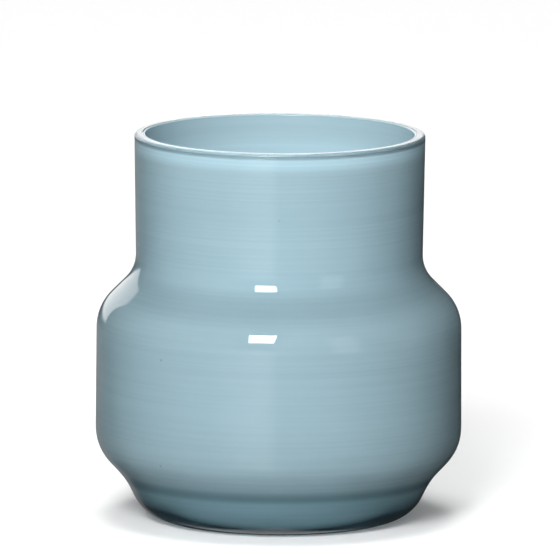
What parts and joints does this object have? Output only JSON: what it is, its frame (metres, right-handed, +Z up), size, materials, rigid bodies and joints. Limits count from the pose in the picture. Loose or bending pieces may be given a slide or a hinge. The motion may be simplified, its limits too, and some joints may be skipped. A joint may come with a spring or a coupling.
{
  "type": "flower vase",
  "caption": "Round flower vase in cased glass: wide straight neck, sloped shoulder, straight-sided body and a short drawn-in foot.",
  "frame": {"origin": "on the vase's axis, in the plane of the ring that it stands on", "axes": "+Z up along the vase's axis, from the foot to the mouth; the vase is round, so +X and +Y are any two square directions"},
  "size_m": [0.1399, 0.14, 0.148],
  "materials": {
    "clear_glass": "clear and glossy, with the rim cut flat and polished and a ground ring underneath",
    "opal_glass": "opaque pale-blue opal glass, glossy inside"
  },
  "bodies": {
    "root": {"clear_casing": "clear_glass", "opal_lining": "opal_glass"}
  },
  "joints": []
}
